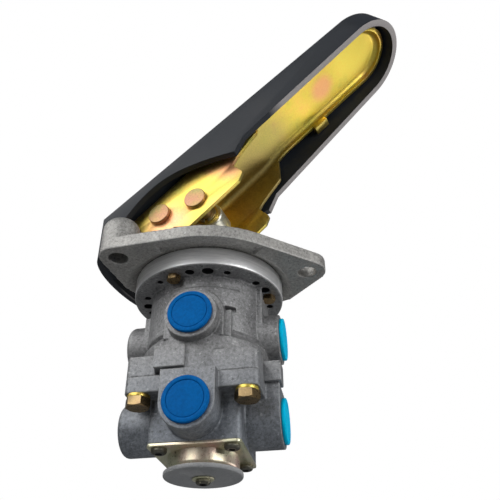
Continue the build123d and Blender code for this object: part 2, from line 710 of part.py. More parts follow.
def upper_body():
    """Upper casting: round flange, neck, shoulder, belt, lugs and port bosses."""
    ring = disc(RING_R, RING_LOW, SEAT_Z)
    ring = chamfer(ring.edges().filter_by(GeomType.CIRCLE), RING_EDGE)
    inside = RING_LOW + RING_EDGE
    profile = Polyline((0, inside), (NECK_R, inside), (NECK_R, SHOULDER_TOP), (BELT_R, BELT_TOP),
                       (BELT_R, PARTING_Z), (0, PARTING_Z), close=True)
    body = ring + revolve(Plane.XZ * make_face(profile), Axis.Z)
    body += upper_pads(inside)
    body += corner_lugs(PARTING_Z, PARTING_Z + LUG_TALL)
    body += port_rod(PORT_BOSS_R, ROOT, UPPER_FRONT_FACE, UPPER_FRONT_Z, "front")
    body += port_rod(PORT_BOSS_R, ROOT, UPPER_RIGHT_FACE, UPPER_RIGHT_Z, "right")
    body += blind_boss(UPPER_FRONT_Z)
    body += block(RAISED_FROM[0], RAISED_TO[0], RAISED_Y, -LUG_ROOT, RAISED_FROM[1], RAISED_TO[1])
    body += block(FRONT_LUG_X, LUG_X - LUG_EDGE, -LUG_Y, -LUG_ROOT, PARTING_Z, PARTING_Z + FRONT_LUG_TALL)
    body += block(LUG_ROOT, LUG_X + REAR_LUG_OUT, REAR_LUG_FROM_Y, REAR_LUG_TO_Y, PARTING_Z, PARTING_Z + LUG_TALL)
    body -= block(SLOT_FROM[0], SLOT_TO[0], -BELT_R, SLOT_BACK_Y, SLOT_FROM[1], SLOT_TO[1])
    body -= disc(PRIMARY_R, LEDGE_TOP, SEAT_Z + OVER)
    body -= disc(PRIMARY_SEAT_R, LEDGE_LOW - OVER, LEDGE_TOP + OVER)
    body -= disc(PRIMARY_CHAMBER_R, RELAY_TOP - OVER, LEDGE_LOW)
    body -= disc(RELAY_R, PARTING_Z - OVER, RELAY_TOP)
    front_end, right_end = UPPER_FRONT_FACE - PORT_DEPTH, UPPER_RIGHT_FACE - PORT_DEPTH
    body -= port_rod(PORT_BORE_R, front_end, FAR, UPPER_FRONT_Z, "front")
    body -= port_rod(PORT_BORE_R, right_end, FAR, UPPER_RIGHT_Z, "right")
    delivery_z = UPPER_FRONT_Z + PASSAGE_SHIFT
    supply_z = UPPER_RIGHT_Z - PASSAGE_SHIFT
    body -= port_rod(PASSAGE_R, PRIMARY_R - PASSAGE_OVERLAP, front_end + OVER, delivery_z, "front")
    body -= port_rod(PASSAGE_R, PRIMARY_CHAMBER_R - PASSAGE_OVERLAP, right_end + OVER, supply_z, "right")
    for angle in FLANGE_BOLT_ANGLES:
        x, y = on_circle(FLANGE_BOLT_CIRCLE_R, angle)
        body -= disc(FLANGE_BOLT_R + GAP, RING_LOW - OVER, SEAT_Z + OVER, x, y)
        body -= disc(SPOT_R, RING_LOW - SPOT_DEEP, RING_LOW, x, y)
    for angle, radius in RING_HOLES:
        x, y = on_circle(FLANGE_BOLT_CIRCLE_R, angle)
        body -= disc(radius, RING_LOW - OVER, RING_LOW + RING_HOLE_DEEP, x, y)
    for x, y in bolt_places():
        body -= disc(BODY_BOLT_R + RUN, PARTING_Z - OVER, LOWER_FLANGE_LOW + BODY_BOLT_REACH + OVER, x, y)
    return body - seal_groove(PRIMARY_R + PLATE_SEAL_OUT, SEAT_Z, -1)


def bolt_places():
    """Places of the four body bolts."""
    return [(x * BODY_BOLT_X, y * BODY_BOLT_Y) for x in (1, -1) for y in (1, -1)]


def seal_groove(radius, z, way):
    """Square groove for a seal ring, cut from a face towards way."""
    wide = SEAL_R * SEAL_GROOVE_WIDEN
    ends = sorted((z, z + way * 2 * SEAL_R))
    return tube(radius + wide, radius - wide, ends[0] - (way > 0), ends[1] + (way < 0))


def lower_body():
    """Lower casting: square flange, square foot, arched front boss and side bosses."""
    flange = block(-LUG_X, LUG_X, -LUG_Y, LUG_Y, LOWER_FLANGE_LOW, PARTING_Z)
    body = fillet(flange.edges().filter_by(Axis.Z), LUG_EDGE)
    foot = block(-FOOT_HALF, FOOT_HALF, -FOOT_HALF, FOOT_HALF, FOOT_Z, LOWER_FLANGE_LOW)
    body += fillet(foot.edges().filter_by(Axis.Z), FOOT_EDGE)
    body += port_rod(PORT_BOSS_R, ROOT, LOWER_FRONT_FACE, LOWER_FRONT_Z, "front")
    body += block(-PORT_BOSS_R, PORT_BOSS_R, -LOWER_FRONT_FACE, -ROOT, LOWER_FRONT_Z, PARTING_Z)
    body += port_rod(PORT_BOSS_R, ROOT, LOWER_RIGHT_FACE, LOWER_RIGHT_Z, "right")
    body += block(ROOT, LOWER_RIGHT_FACE, -PORT_BOSS_R, PORT_BOSS_R, LOWER_RIGHT_Z, PARTING_Z)
    body += blind_boss(LOWER_BLIND_Z)
    body -= disc(RELAY_R, RELAY_FLOOR, PARTING_Z + OVER)
    body -= disc(SECONDARY_SEAT_R, RELAY_FLOOR - LEDGE_THICK - OVER, RELAY_FLOOR + OVER)
    body -= disc(SECONDARY_CHAMBER_R, FOOT_Z - OVER, RELAY_FLOOR - LEDGE_THICK)
    retainer_low = SECONDARY_GUIDE_LOW - RETAINER_THICK - 2 * FACE
    body -= disc(SECONDARY_CHAMBER_R + RETAINER_GROOVE, retainer_low, SECONDARY_GUIDE_LOW)
    front_end, right_end = LOWER_FRONT_FACE - PORT_DEPTH, LOWER_RIGHT_FACE - PORT_DEPTH
    body -= port_rod(PORT_BORE_R, front_end, FAR, LOWER_FRONT_Z, "front")
    body -= port_rod(PORT_BORE_R, right_end, FAR, LOWER_RIGHT_Z, "right")
    supply_x = SECONDARY_CHAMBER_R - PASSAGE_OVERLAP
    control_x = SECONDARY_CHAMBER_R + 2 * PASSAGE_R
    body -= port_rod(PASSAGE_R, supply_x, front_end + OVER, LOWER_FRONT_Z, "front")
    body -= port_rod(PASSAGE_R, control_x, right_end + OVER, LOWER_RIGHT_Z, "right")
    body -= disc(PASSAGE_R - OVER, LOWER_RIGHT_Z, RELAY_FLOOR + OVER, control_x, 0)
    for x, y in bolt_places():
        body -= disc(BODY_BOLT_R + GAP, LOWER_FLANGE_LOW - OVER, PARTING_Z + OVER, x, y)
    for x, y in plate_screw_places():
        body -= disc(PLATE_SCREW_R + RUN, FOOT_Z - OVER, FOOT_Z + PLATE_SCREW_REACH + OVER, x, y)
    return body - seal_groove(RELAY_R + BODY_SEAL_OUT, PARTING_Z, -1)


def seal_ring(radius, section_r, z):
    """Round seal ring."""
    return Pos(0, 0, z) * Torus(radius, section_r)


def hexagon(flats, low, high, x, y):
    """Upright hexagonal prism across the given flats."""
    return Pos(x, y, low) * extrude(RegularPolygon(flats / 2, 6, major_radius=False), high - low)


def body_bolts():
    """Four bolts that hold the two castings together."""
    bolts = []
    seat = LOWER_FLANGE_LOW - SPRING_WASHER_THICK
    for x, y in bolt_places():
        head = hexagon(BODY_BOLT_FLATS, seat - BODY_BOLT_HEAD, seat, x, y)
        bolts.append(head + disc(BODY_BOLT_R, seat, LOWER_FLANGE_LOW + BODY_BOLT_REACH, x, y))
    return group(bolts)


def body_washers():
    """Split spring washers under the bolt heads."""
    rings = []
    half = SPRING_WASHER_SLIT / 2
    low = LOWER_FLANGE_LOW - SPRING_WASHER_THICK
    for x, y in bolt_places():
        ring = tube(SPRING_WASHER_R, BODY_BOLT_R + RUN, low, LOWER_FLANGE_LOW, x, y)
        rings.append(ring - block(x, x + SPRING_WASHER_R + OVER, y - half, y + half, FOOT_Z, PARTING_Z))
    return group(rings)


def flange_bolts():
    """Three bolts that hold the valve under the mounting plate."""
    bolts = []
    end = SCREW_BOSS_TOP - SCREW_BOSS_ROOF - OVER
    for angle in FLANGE_BOLT_ANGLES:
        x, y = on_circle(FLANGE_BOLT_CIRCLE_R, angle)
        head = hexagon(FLANGE_BOLT_FLATS, RING_LOW - FLANGE_BOLT_HEAD, RING_LOW, x, y)
        bolts.append(head + disc(FLANGE_BOLT_R, RING_LOW, end, x, y))
    return group(bolts)


def port_cap(face, z, side):
    """Screw-in transit cap with a raised rim and a hollow stem."""
    cap = port_rod(CAP_R, face, face + CAP_LIP, z, side)
    cap = fillet(outer_edge(cap, side), CAP_EDGE)
    stem_r = PORT_BORE_R - CAP_STEM_PLAY
    recess = face + CAP_LIP - CAP_RECESS
    cap += port_rod(stem_r, face - CAP_STEM, face, z, side)
    cap -= port_rod(stem_r - CAP_STEM_WALL, face - CAP_STEM - OVER, recess - CAP_FLOOR, z, side)
    return cap - port_rod(CAP_RECESS_R, recess, face + FAR, z, side)


def outer_edge(shape, side):
    """The circle of a port piece that lies furthest out."""
    circles = shape.edges().filter_by(GeomType.CIRCLE)
    return circles.sort_by(Axis.X)[-1] if side == "right" else circles.sort_by(Axis.Y)[0]


# Exhaust

def plate_screw_places():
    """Places of the four screws of the exhaust plate."""
    return [(x * PLATE_SCREW_AT, y * PLATE_SCREW_AT) for x in (1, -1) for y in (1, -1)]


def exhaust_plate():
    """Square sheet with a drawn cup and vents in its floor."""
    low = FOOT_Z - EXHAUST_SHEET
    sheet = block(-EXHAUST_HALF, EXHAUST_HALF, -EXHAUST_HALF, EXHAUST_HALF, low, FOOT_Z)
    sheet = fillet(sheet.edges().filter_by(Axis.Z), EXHAUST_EDGE)
    cup = disc(CUP_R, CUP_LOW, low)
    cup = fillet(cup.edges().group_by(Axis.Z)[0], CUP_ROUND)
    floor = CUP_LOW + CUP_WALL
    plate = sheet + cup - disc(CUP_R - CUP_WALL, floor, FOOT_Z + OVER)
    for index in range(VENTS):
        x, y = on_circle(VENT_CIRCLE_R, 360 / VENTS * index)
        plate -= disc(VENT_R, CUP_LOW - OVER, floor + OVER, x, y)
    plate -= disc(FLAP_SCREW_R + RUN, CUP_LOW - OVER, floor + OVER)
    for x, y in plate_screw_places():
        plate -= disc(PLATE_SCREW_R + GAP, low - OVER, FOOT_Z + OVER, x, y)
    return plate


def exhaust_screws():
    """Four button-head screws with a six-sided socket."""
    screws = []
    seat = FOOT_Z - EXHAUST_SHEET
    for x, y in plate_screw_places():
        head = disc(PLATE_SCREW_HEAD_R, seat - PLATE_SCREW_HEAD, seat, x, y)
        head = fillet(head.edges().group_by(Axis.Z)[0], PLATE_SCREW_HEAD * HEAD_ROUNDING)
        screw = head + disc(PLATE_SCREW_R, seat, FOOT_Z + PLATE_SCREW_REACH, x, y)
        bottom = seat - PLATE_SCREW_HEAD
        screws.append(screw - hexagon(SOCKET_FLATS, bottom - OVER, bottom + SOCKET_DEEP, x, y))
    return group(screws)


def exhaust_flap():
    """Rubber disc that covers the vents."""
    high = CUP_LOW
    flap = disc(FLAP_R, high - FLAP_THICK, high)
    flap = fillet(flap.edges().group_by(Axis.Z)[0], FLAP_EDGE)
    return flap - disc(FLAP_SCREW_R + RUN, high - FLAP_THICK - OVER, high + OVER)


def flap_washer():
    high = CUP_LOW - FLAP_THICK
    return tube(FLAP_WASHER_R, FLAP_SCREW_R + RUN, high - FLAP_WASHER_THICK, high)


def flap_screw():
    """Centre screw of the flap."""
    seat = CUP_LOW - FLAP_THICK - FLAP_WASHER_THICK
    bottom = seat - FLAP_SCREW_HEAD
    head = disc(FLAP_SCREW_HEAD_R, bottom, seat)
    head = fillet(head.edges().group_by(Axis.Z)[0], FLAP_SCREW_HEAD * HEAD_ROUNDING)
    screw = head + disc(FLAP_SCREW_R, seat, CUP_LOW + CUP_WALL + FLAP_SCREW_REACH)
    return screw - hexagon(SOCKET_FLATS, bottom - OVER, bottom + SOCKET_DEEP, 0, 0)


def flap_nut():
    low = CUP_LOW + CUP_WALL
    high = low + FLAP_NUT_TALL
    return hexagon(FLAP_NUT_FLATS, low, high, 0, 0) - disc(FLAP_SCREW_R + RUN, low - OVER, high + OVER)


# Pistons and valves

def piston_ring(bore, z):
    """Seal ring of a piston, just inside its bore."""
    return seal_ring(bore - FACE - SEAL_RING_R, SEAL_RING_R, z)


def ring_groove(bore, z):
    """Groove that a piston's seal ring lies in."""
    half = SEAL_RING_R + FACE
    return tube(bore + OVER, bore - FACE - 2 * SEAL_RING_R - FACE, z - half, z + half)


def primary_piston():
    """Cup piston with a hollow stem that meets the primary valve."""
    low = PISTON_TOP - PISTON_TALL
    piston = disc(PRIMARY_R - SLIDE, low, PISTON_TOP) + disc(PISTON_STEM_R, PISTON_STEM_END, low)
    spring_low = SEAT_Z - GAP - FOOT_THICK - GAP - RUBBER_TALL
    piston -= disc(RUBBER_R + RUBBER_ROOM, spring_low, PISTON_TOP + OVER)
    piston -= disc(PISTON_STEM_BORE_R, PISTON_STEM_END - OVER, low + STEM_BORE_REACH)
    return piston - ring_groove(PRIMARY_R, PISTON_TOP - PISTON_RING_DROP)


def coil(radius, wire, low, high):
    """Round-wire coil spring between two heights."""
    tall = high - low - 2 * wire
    path = Helix(tall / SPRING_TURNS, tall, radius, center=(0, 0, low + wire))
    section = Plane(origin=path @ 0, z_dir=path % 0) * Circle(wire)
    return sweep(section, path, is_frenet=True)


def piston_spring():
    high = PISTON_TOP - PISTON_TALL - GAP
    return coil(PRIMARY_R - PISTON_SPRING_IN, SPRING_WIRE_R, LEDGE_TOP + GAP, high)


def valve_tube(disc_r, tube_r, bore_r, top, low):
    """Disc valve on a hollow stem."""
    valve = disc(disc_r, top - VALVE_DISC_THICK, top) + disc(tube_r, low, top)
    return valve - disc(bore_r, low - OVER, top + OVER)


def primary_valve():
    top = PISTON_STEM_END - VALVE_GAP
    return valve_tube(PRIMARY_VALVE_R, PRIMARY_TUBE_R, PRIMARY_TUBE_BORE_R, top, PRIMARY_GUIDE_LOW)


def primary_guide():
    top = PRIMARY_GUIDE_LOW + PRIMARY_GUIDE_TALL
    return tube(PRIMARY_CHAMBER_R - RUN, PRIMARY_TUBE_R + SLIDE, PRIMARY_GUIDE_LOW, top)


def primary_valve_spring():
    low = PRIMARY_GUIDE_LOW + PRIMARY_GUIDE_TALL + GAP
    high = PISTON_STEM_END - VALVE_GAP - VALVE_DISC_THICK - GAP
    return coil(PRIMARY_TUBE_R + VALVE_SPRING_OUT, VALVE_WIRE_R, low, high)


def relay_piston():
    """Relay piston with a hollow stem that meets the secondary valve."""
    low = RELAY_PISTON_TOP - RELAY_TALL
    piston = disc(RELAY_R - SLIDE, low, RELAY_PISTON_TOP)
    piston += disc(RELAY_STEM_R, secondary_top() + VALVE_GAP, low)
    piston -= disc(RELAY_STEM_BORE_R, FOOT_Z, low + STEM_BORE_REACH)
    piston -= tube(RELAY_R - RELAY_RIM, RELAY_STEM_R + RELAY_RIM, low - OVER, low + RELAY_TALL / 2)
    return piston - ring_groove(RELAY_R, RELAY_PISTON_TOP - RELAY_RING_DROP)


def secondary_top():
    """Height of the secondary valve's face, just under its seat."""
    return RELAY_FLOOR - LEDGE_THICK - SECONDARY_PLAY


def secondary_valve():
    return valve_tube(SECONDARY_VALVE_R, SECONDARY_TUBE_R, SECONDARY_TUBE_BORE_R, secondary_top(),
                      SECONDARY_GUIDE_LOW + SECONDARY_TUBE_UP)


def secondary_guide():
    return tube(SECONDARY_CHAMBER_R - RUN, SECONDARY_TUBE_R + SLIDE, SECONDARY_GUIDE_LOW,
                SECONDARY_GUIDE_LOW + SECONDARY_GUIDE_TALL)


def secondary_valve_spring():
    low = SECONDARY_GUIDE_LOW + SECONDARY_GUIDE_TALL + GAP
    high = secondary_top() - VALVE_DISC_THICK - GAP
    return coil(SECONDARY_TUBE_R + VALVE_SPRING_OUT, VALVE_WIRE_R, low, high)


def guide_retainer():
    """Open ring that holds the secondary guide."""
    high = SECONDARY_GUIDE_LOW - FACE
    outer = SECONDARY_CHAMBER_R + RETAINER_GROOVE - RUN
    ring = tube(outer, outer - RETAINER_RIM, high - RETAINER_THICK, high)
    return ring - block(0, FAR, -RETAINER_OPENING / 2, RETAINER_OPENING / 2, FOOT_Z, PARTING_Z)


save(mounting_plate(), "mounting_plate")
save(pivot_bushes(), "pivot_bushes")
save(guide_bush(), "plunger_guide_bush")
save(pedal_cover(), "pedal_cover")
save(pedal_arm(), "pedal_arm")
save(pivot_pin(), "pivot_pin")
save(roller_pin(), "roller_pin")
save(pin_clips(), "pin_end_clips")
save(roller_clips(), "roller_clips")
save(roller_washers(), "roller_washers")
save(roller(), "roller")
save(plunger(), "plunger")
save(plunger_boot(), "plunger_boot")
save(graduating_spring(), "graduating_spring")
save(upper_body(), "upper_body", VALVE_FRAME)
save(lower_body(), "lower_body", VALVE_FRAME)
save(seal_ring(PRIMARY_R + PLATE_SEAL_OUT, SEAL_R, SEAT_Z - SEAL_R), "plate_seal")
save(seal_ring(RELAY_R + BODY_SEAL_OUT, SEAL_R, PARTING_Z - SEAL_R), "body_seal")
save(body_bolts(), "body_bolts", VALVE_FRAME)
save(body_washers(), "body_spring_washers", VALVE_FRAME)
save(flange_bolts(), "flange_bolts", VALVE_FRAME)
save(port_cap(UPPER_FRONT_FACE, UPPER_FRONT_Z, "front"), "cap_upper_front", VALVE_FRAME)
save(port_cap(UPPER_RIGHT_FACE, UPPER_RIGHT_Z, "right"), "cap_upper_right", VALVE_FRAME)
save(port_cap(LOWER_FRONT_FACE, LOWER_FRONT_Z, "front"), "cap_lower_front", VALVE_FRAME)
save(port_cap(LOWER_RIGHT_FACE, LOWER_RIGHT_Z, "right"), "cap_lower_right", VALVE_FRAME)
save(exhaust_plate(), "exhaust_plate", VALVE_FRAME)
save(exhaust_screws(), "exhaust_plate_screws", VALVE_FRAME)
save(exhaust_flap(), "exhaust_flap")
save(flap_washer(), "flap_washer")
save(flap_screw(), "flap_screw", VALVE_FRAME)
save(flap_nut(), "flap_nut", VALVE_FRAME)
save(primary_piston(), "primary_piston")
save(piston_ring(PRIMARY_R, PISTON_TOP - PISTON_RING_DROP), "primary_piston_seal")
save(piston_spring(), "piston_return_spring")
save(primary_valve(), "primary_valve")
save(primary_guide(), "primary_valve_guide")
save(primary_valve_spring(), "primary_valve_spring")
save(relay_piston(), "relay_piston")
save(piston_ring(RELAY_R, RELAY_PISTON_TOP - RELAY_RING_DROP), "relay_piston_seal")
save(secondary_valve(), "secondary_valve")
save(secondary_guide(), "secondary_valve_guide")
save(secondary_valve_spring(), "secondary_valve_spring")
save(guide_retainer(), "guide_retaining_ring", VALVE_FRAME)
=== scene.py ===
import json
import math

import bmesh
import bpy
from mathutils import Matrix, Vector

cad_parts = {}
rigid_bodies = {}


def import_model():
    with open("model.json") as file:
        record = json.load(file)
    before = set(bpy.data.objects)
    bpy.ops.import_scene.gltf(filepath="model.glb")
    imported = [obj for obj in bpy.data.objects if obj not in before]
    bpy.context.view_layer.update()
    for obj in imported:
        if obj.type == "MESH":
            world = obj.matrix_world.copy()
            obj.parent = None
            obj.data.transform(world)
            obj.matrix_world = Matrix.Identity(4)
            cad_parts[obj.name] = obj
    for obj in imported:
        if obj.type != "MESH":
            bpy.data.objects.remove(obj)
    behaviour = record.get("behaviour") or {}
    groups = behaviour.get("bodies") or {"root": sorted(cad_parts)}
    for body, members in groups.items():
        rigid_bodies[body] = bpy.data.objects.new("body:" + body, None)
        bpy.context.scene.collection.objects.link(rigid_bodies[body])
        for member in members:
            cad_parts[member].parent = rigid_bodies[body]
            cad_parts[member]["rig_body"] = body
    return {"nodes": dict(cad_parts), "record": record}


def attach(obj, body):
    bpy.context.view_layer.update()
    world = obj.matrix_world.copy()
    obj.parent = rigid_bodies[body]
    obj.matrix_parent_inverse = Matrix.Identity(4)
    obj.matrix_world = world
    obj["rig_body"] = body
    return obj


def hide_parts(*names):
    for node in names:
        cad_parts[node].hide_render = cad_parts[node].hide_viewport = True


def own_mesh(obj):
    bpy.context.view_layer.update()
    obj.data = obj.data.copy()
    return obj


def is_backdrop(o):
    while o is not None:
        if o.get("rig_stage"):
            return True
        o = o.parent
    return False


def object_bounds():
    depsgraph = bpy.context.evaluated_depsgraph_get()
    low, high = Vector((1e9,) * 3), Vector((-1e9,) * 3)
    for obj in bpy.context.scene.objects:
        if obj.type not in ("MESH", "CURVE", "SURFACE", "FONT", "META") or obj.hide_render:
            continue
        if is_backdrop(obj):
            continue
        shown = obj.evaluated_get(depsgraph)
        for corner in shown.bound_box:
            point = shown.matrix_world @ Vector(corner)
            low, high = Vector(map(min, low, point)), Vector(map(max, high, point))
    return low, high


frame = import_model()
cad_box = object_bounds()

MM = 0.001
PORT_TURN = math.radians(12)      # the valve body is turned about its axis

# Camera, fitted to the photograph
CAMERA_AZIMUTH = math.radians(21.461)
CAMERA_LOOKS_UP = math.radians(35.1527)
CAMERA_ROLL = math.radians(-0.555)
CAMERA_DISTANCE = 425.2794 * MM
CAMERA_RIGHT = 27.9157 * MM
CAMERA_ABOVE = 30.3441 * MM
CAMERA_LENS = 44.2469
CAMERA_SENSOR = 36.0
CAMERA_CLIP = (0.01, 50.0)

FLOOR_Z = -1.1
FLOOR_HALF = 6.0
FLOOR_GLOW = 0.5

# Corners nearer than this are joined, and faces that turn less than this are made one
JOIN_WITHIN = 0.002 * MM
FLAT_WITHIN = math.radians(0.4)

# Edges that turn by more than this are rounded, in so many steps
ROUNDED_FROM = math.radians(35)
EDGE_SEGMENTS = 2

# Angles in degrees at which the shading of a piece breaks
ROUNDED_SHARP = 50
SOFT_SHARP = 60
HEX_SHARP = 25

# Width of the rounded edge on the cover and the arm
COVER_EDGE = 0.8 * MM
ARM_EDGE = 0.5 * MM

# Softening of the castings: voxel size and smoothing passes
CASTING_PASSES = {
    "mounting_plate": (0.6 * MM, 3),
    "upper_body": (0.5 * MM, 2),
    "lower_body": (0.5 * MM, 2),
}
CASTING_SMOOTHING = 0.5
CASTING_KEEP = 0.35

# Soft square lights: place, target, size and power
LIGHTS = {
    "key": ((-0.22, -0.76, 0.52), (0.02, 0, 0.02), 0.75, 3.3),
    "front": ((-0.20, -0.95, 0.18), (0, 0, 0.02), 0.6, 2.0),
    "left": ((-0.68, -0.40, 0.56), (0, 0, 0), 0.5, 2.0),
    "right": ((0.72, 0.56, -0.27), (0.03, 0, 0.03), 0.45, 1.4),
    "side": ((0.9, -0.35, 0.1), (0.02, 0, -0.02), 0.5, 4.2),
}

# Light from the surroundings, low down and high up, and the heights between which it changes
WORLD_LOW = (0.03, 0.031, 0.033)
WORLD_HIGH = (0.18, 0.183, 0.187)
WORLD_HEIGHTS = (0.15, 0.75)

# Underside of the arm's web, under the tread
WEB_START = Vector((0, 0, 109.2)) * MM
WEB_ALONG = Vector((0.785, 0, 0.62))
WEB_NORMAL = Vector((-0.62, 0, 0.785))
WEB_UNDERSIDE = -8.0 * MM

# Depth of the tread's grip grooves, and how near to a level a point counts as on it
GRIP_DEEP = 0.8 * MM
TREAD_NEAR = 0.02 * MM

# Pointiness from a flat face to an outward edge, and from a flat face to an inward corner
OUTWARD = (0.505, 0.56)
INWARD = (0.495, 0.42)

# Colour of the painted reflection on the cover's rim and underside, and its strength
RIM_PAINTED_REFLECTION = (0.5, 0.465, 0.455)
RIM_REFLECTION_SHARE = 0.75

# Colours of the castings' pits, light specks, worn edges, dirt and painted shade in corners, dirt and painted
# shade in the ring's holes, and the roughness of the turned band as a grey
CAST_PITS = (0.05, 0.05, 0.052)
CAST_SPECKS = (0.6, 0.6, 0.6)
CAST_WORN = (0.5, 0.5, 0.49)
CAST_DIRT_AND_SHADE = (0.07, 0.07, 0.072)
RING_HOLE_DIRT_AND_SHADE = (0.03, 0.03, 0.032)
TURNED_ROUGH = (0.33, 0.33, 0.33)

# Colours of the worn edges of plated pieces, of dirt and painted shade in their corners, and of worn rubber
ZINC_WORN = (0.85, 0.8, 0.55)
ZINC_DIRT_AND_SHADE = (0.06, 0.05, 0.03)
RUBBER_WORN = (0.6, 0.59, 0.58)

# Painted shade: the lower casting is painted darker and bluer towards its bottom, between these depths
LOWER_PAINTED_SHADE = (0.78, 0.84, 0.92)
LOWER_SHADE_FROM = 60 * MM
LOWER_SHADE_TO = 100 * MM

# Nodes whose finish differs from the rest of their slot
OWN_FINISH = {
    "body_bolts": "bolt_zinc",
    "flange_bolts": "bolt_zinc",
    "pivot_pin": "pin_zinc",
    "roller_pin": "pin_zinc",
    # The exhaust flap gets a lit grey copy of the black rubber: painted light from below
    "exhaust_flap": "flap_rubber_painted_lit",
    # The right caps get a lit copy of the blue caps' finish: painted light from the right
    "cap_upper_right": "cap_painted_lit",
    "cap_lower_right": "cap_painted_lit",
}

# Ring, neck, slot and left pad of the upper body, in the turned valve body's own axes;
# the pad's angles and their step are in degrees
RING_LOW = -8.66 * MM
RING_BAND_R = 49.2 * MM
RING_BAND_FADE = 0.5 * MM
RING_FADE = (0.4 * MM, 0.8 * MM)
NECK_STEP = -17.7 * MM
NECK_R = 38.5 * MM
NECK_FOOT = -49.0 * MM
NECK_CHAMFER = 3.0 * MM
NECK_FRONT_R = 49.0 * MM
NECK_FRONT_CENTRE = Vector((2.0, 14.8)) * MM
SLOT_X = (17.6 * MM, 24.4 * MM)
SLOT_Y = (-60.0 * MM, -28.0 * MM)
SLOT_Z = (-33.6 * MM, -30.4 * MM)
LEFT_PAD_ANGLES = (150, 212)
LEFT_PAD_STEP = 2
LEFT_PAD_LOW = -24.4 * MM
LEFT_PAD_REACH = 50.0 * MM

# Caps: turn from the front port in degrees, distance of the port's face from the axis, and height
CAPS = {
    "cap_upper_front": (0, 46.8 * MM, -40.5 * MM),
    "cap_upper_right": (90, 48.6 * MM, -39.8 * MM),
    "cap_lower_front": (0, 45.9 * MM, -94.1 * MM),
    "cap_lower_right": (90, 48.0 * MM, -93.6 * MM),
}

# Cap from its hollow stem round the rim to its face: radius and height over the port, in mm
CAP_OUTLINE = (
    (8.1, 0.3), (8.1, -9.0), (10.1, -9.0), (10.1, 0.0), (13.1, 0.0), (13.5, 0.4),
    (13.5, 1.9), (13.3, 2.3), (12.9, 2.5), (11.0, 2.5), (10.85, 2.4), (10.8, 1.8),
    (10.5, 1.8), (10.45, 2.25), (10.2, 2.3), (6.0, 2.2),
)
CIRCLE_SIDES = 96

# Hexagon heads: points round one, where the chamfer starts as a share of the flat, its slope,
# the share of the widest reach that only a head has, and how far above the head the shank is measured
HEX_SIDES = 72
HEX_CHAMFER_START = 0.95
HEX_CHAMFER_SLOPE = math.tan(math.pi / 6)
HEAD_SHARE = 0.9
SHANK_CLEAR = 0.1 * MM

# Width of the rounded edge on small pieces
SMALL_EDGES = {
    "body_spring_washers": 0.2 * MM,
    "pivot_pin": 0.5 * MM,
    "roller_pin": 0.5 * MM,
    "exhaust_plate": 0.3 * MM,
    "exhaust_plate_screws": 0.3 * MM,
    "exhaust_flap": 0.5 * MM,
    "flap_washer": 0.25 * MM,
}

# Soft pieces: the joint that presses each, the height of its fixed end, and what is left of its length
PRESSED = {
    "plunger_boot": ("plunger_slide", 8.8 * MM, 0.823),
    "graduating_spring": ("plunger_slide", -17.3 * MM, 0.857),
    "piston_return_spring": ("primary_piston_slide", -39.7 * MM, 0.727),
    "primary_valve_spring": ("primary_valve_slide", -54.8 * MM, 0.70),
    "secondary_valve_spring": ("secondary_valve_slide", -97.9 * MM, 0.734),
}


# Scene

def new_object(name, data):
    thing = bpy.data.objects.new(name, data)
    bpy.context.scene.collection.objects.link(thing)
    return thing


def make_camera():
    """Camera at the photograph's viewing angle."""
    level = math.cos(CAMERA_LOOKS_UP)
    ahead = (-math.sin(CAMERA_AZIMUTH) * level, math.cos(CAMERA_AZIMUTH) * level)
    forward = Vector((*ahead, math.sin(CAMERA_LOOKS_UP)))
    side = forward.cross(Vector((0, 0, 1))).normalized()
    above = side.cross(forward)
    right = side * math.cos(CAMERA_ROLL) + above * math.sin(CAMERA_ROLL)
    top = above * math.cos(CAMERA_ROLL) - side * math.sin(CAMERA_ROLL)
    camera = new_object("camera", bpy.data.cameras.new("camera"))
    camera.data.sensor_width = CAMERA_SENSOR
    camera.data.lens = CAMERA_LENS
    camera.data.clip_start, camera.data.clip_end = CAMERA_CLIP
    turned = Matrix((right, top, -forward)).transposed().to_4x4()
    turned.translation = right * CAMERA_RIGHT + top * CAMERA_ABOVE - forward * CAMERA_DISTANCE
    camera.matrix_world = turned
    bpy.context.scene.camera = camera


def area_light(name, place, target, size, power):
    """Soft square light that faces a target."""
    light = bpy.data.lights.new(name, "AREA")
    light.shape = "SQUARE"
    light.size = size
    light.energy = power
    lamp = new_object(name, light)
    lamp.location = place
    lamp.rotation_mode = "QUATERNION"
    lamp.rotation_quaternion = (Vector(target) - Vector(place)).to_track_quat("-Z", "Y")


def make_world():
    """Pale surroundings, darker low down so that metal has something to reflect."""
    world = bpy.data.worlds.new("studio")
    world.use_nodes = True
    tree = world.node_tree
    tree.nodes.clear()
    ray = tree.nodes.new("ShaderNodeTexCoord").outputs["Generated"]
    split = tree.nodes.new("ShaderNodeSeparateXYZ")
    tree.links.new(ray, split.inputs[0])
    ramp = tree.nodes.new("ShaderNodeValToRGB")
    for element, height, colour in zip(ramp.color_ramp.elements, WORLD_HEIGHTS, (WORLD_LOW, WORLD_HIGH)):
        element.position = height
        element.color = (*colour, 1)
    lift = tree.nodes.new("ShaderNodeMapRange")
    lift.inputs["From Min"].default_value = -1
    tree.links.new(split.outputs["Z"], lift.inputs["Value"])
    tree.links.new(lift.outputs[0], ramp.inputs[0])
    seen = tree.nodes.new("ShaderNodeLightPath").outputs["Is Camera Ray"]
    mix = tree.nodes.new("ShaderNodeMix")
    mix.data_type = "RGBA"
    mix.inputs["B"].default_value = (1, 1, 1, 1)
    tree.links.new(seen, mix.inputs["Factor"])
    tree.links.new(ramp.outputs[0], mix.inputs["A"])
    background = tree.nodes.new("ShaderNodeBackground")
    tree.links.new(mix.outputs["Result"], background.inputs[0])
    output = tree.nodes.new("ShaderNodeOutputWorld")
    tree.links.new(background.outputs[0], output.inputs[0])
    bpy.context.scene.world = world


